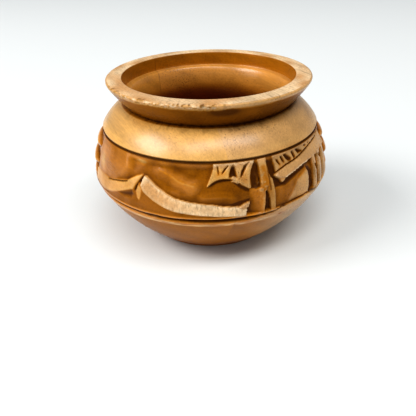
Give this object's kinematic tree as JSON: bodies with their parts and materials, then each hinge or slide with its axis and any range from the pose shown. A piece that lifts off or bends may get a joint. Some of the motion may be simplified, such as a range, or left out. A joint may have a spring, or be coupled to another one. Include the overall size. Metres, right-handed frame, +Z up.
{
  "type": "carved wooden bowl",
  "caption": "Squat round wooden bowl with a flared rim, a lid seat in its mouth and a carved relief band around its belly, turned from glued boards.",
  "frame": {"origin": "centre of the flat foot, on the surface that the bowl stands on", "axes": "+Z up along the turning axis, out of the mouth; -Y towards the front of the carved scene; +X to the right seen from the front"},
  "size_m": [0.1, 0.1, 0.065],
  "materials": {
    "heartwood": "semi-gloss varnish over tan hardwood, dark stain in the carving",
    "sidewood": "semi-gloss varnish over golden hardwood, dark stain in the carving"
  },
  "bodies": {
    "root": {"main_board": "heartwood", "side_board": "sidewood"}
  },
  "joints": []
}
